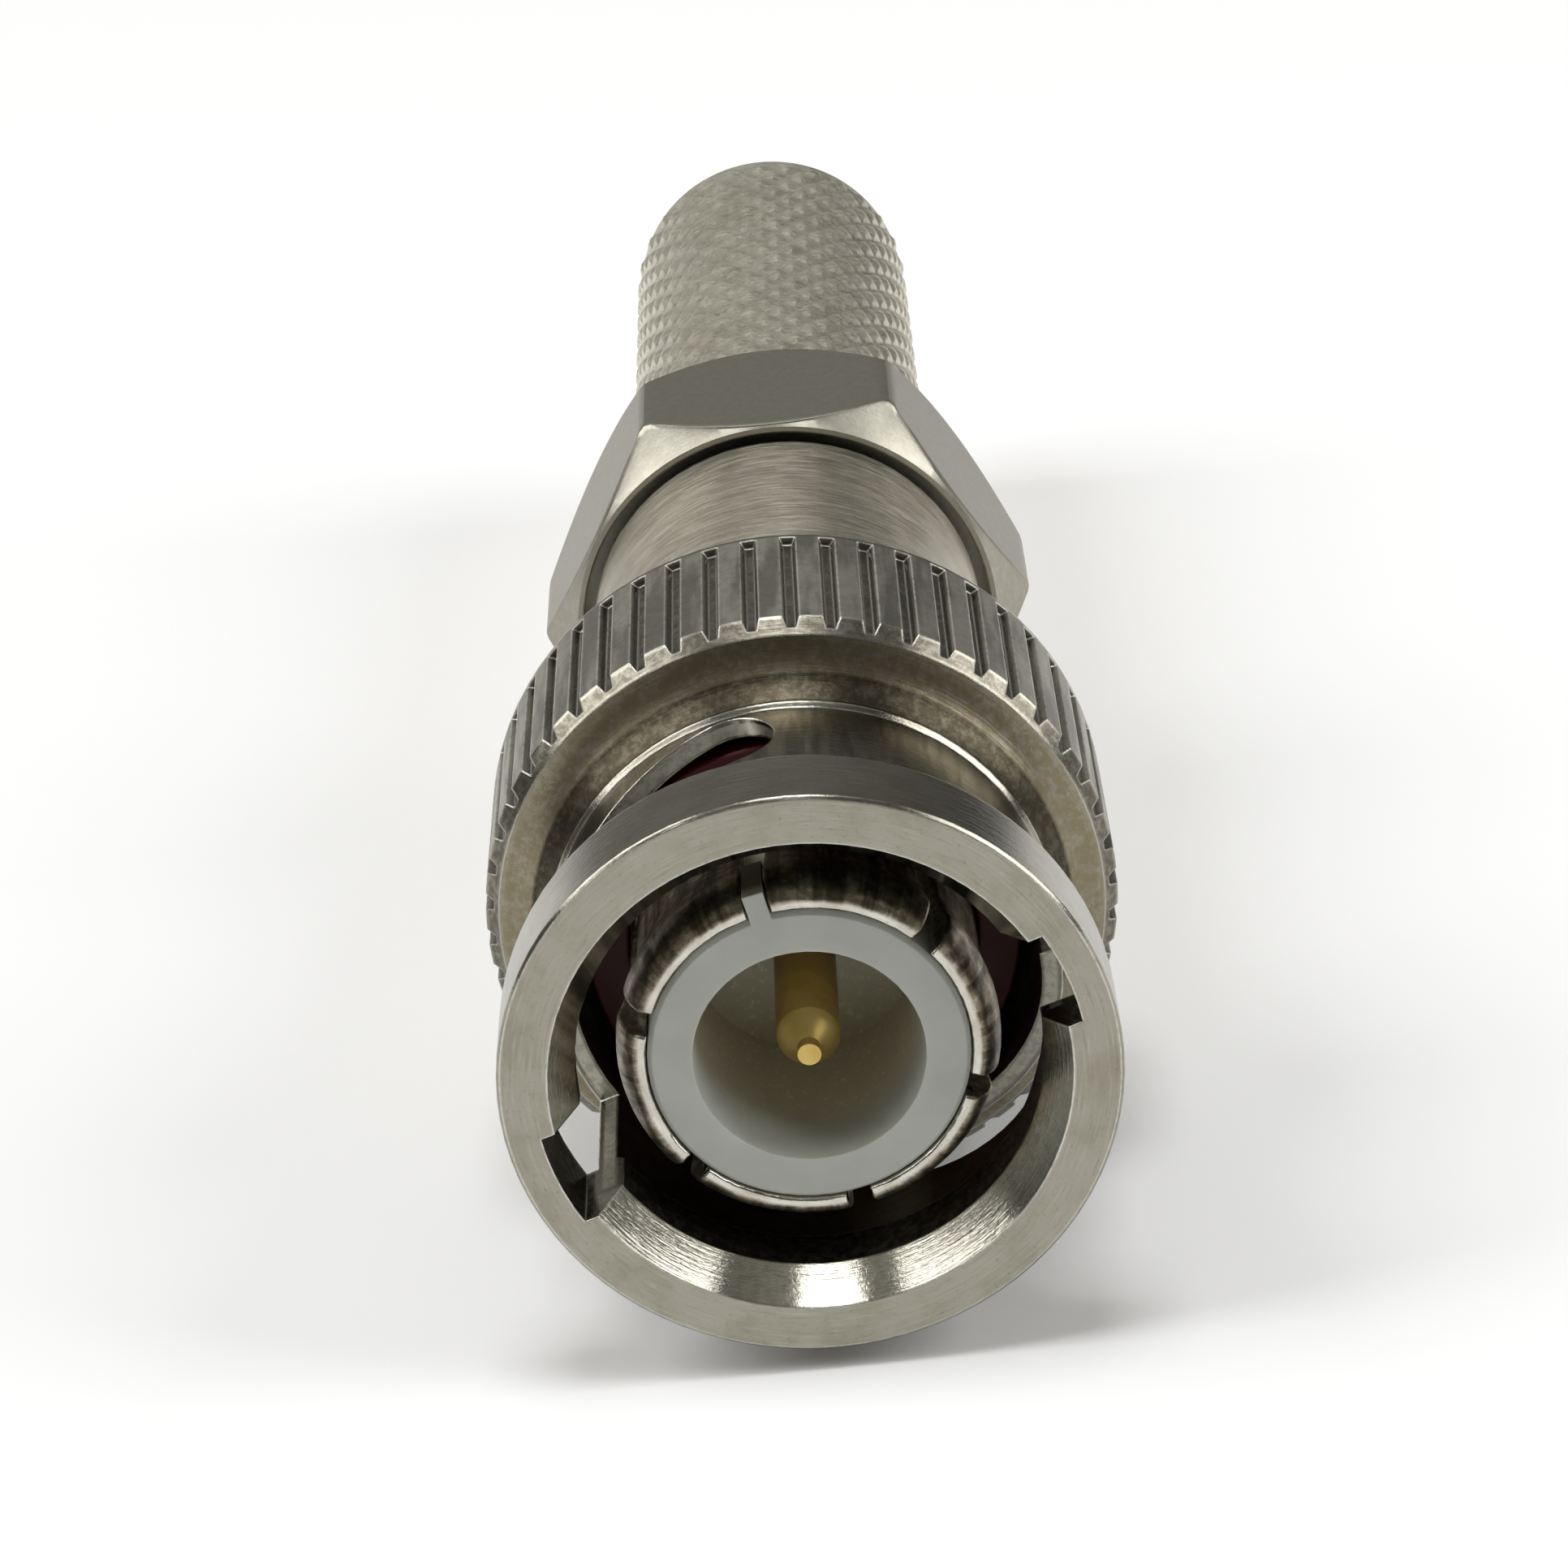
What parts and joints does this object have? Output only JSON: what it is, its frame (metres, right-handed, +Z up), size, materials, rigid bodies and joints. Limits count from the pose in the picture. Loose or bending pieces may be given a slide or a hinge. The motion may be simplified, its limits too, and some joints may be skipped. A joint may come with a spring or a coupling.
{
  "type": "coaxial cable plug",
  "caption": "Bayonet coaxial cable plug with a fluted coupling nut on bayonet tracks, slotted contact, gold pin, hexagon and knurled cable tail.",
  "frame": {"origin": "centre of the coupling nut's front face", "axes": "+Y along the connector's axis towards the cable end, -Y is the mating end, +Z up as it lies"},
  "size_m": [0.014, 0.0498, 0.014],
  "materials": {
    "nickel": "nickel plate on brass, turned",
    "contact_nickel": "nickel plate, satin",
    "spring_steel": "plain spring metal",
    "red_silicone": "soft silicone",
    "white_plastic": "slightly translucent plastic",
    "gold_plate": "gold plate"
  },
  "bodies": {
    "body": {"plug_body": "nickel", "outer_contact": "contact_nickel", "gasket": "red_silicone", "retaining_ring": "spring_steel", "spring_washer": "spring_steel", "front_insulator": "white_plastic", "rear_insulator": "white_plastic", "centre_pin": "gold_plate", "cable_barrel": "nickel"},
    "float": {"thrust_washer": "spring_steel"},
    "nut": {"coupling_nut": "nickel"}
  },
  "joints": [
    {"name": "nut_float", "type": "slide", "parent": "body", "child": "float", "axis": [0, -1, 0], "range_m": [0, 0.0008], "stiffness_N_per_m": 2500, "springref_m": -0.0008, "deforming": ["spring_washer"]},
    {"name": "nut_spin", "type": "hinge", "parent": "float", "child": "nut", "pos_m": [0, 0.0067, 0], "axis": [0, 1, 0], "continuous": true}
  ]
}
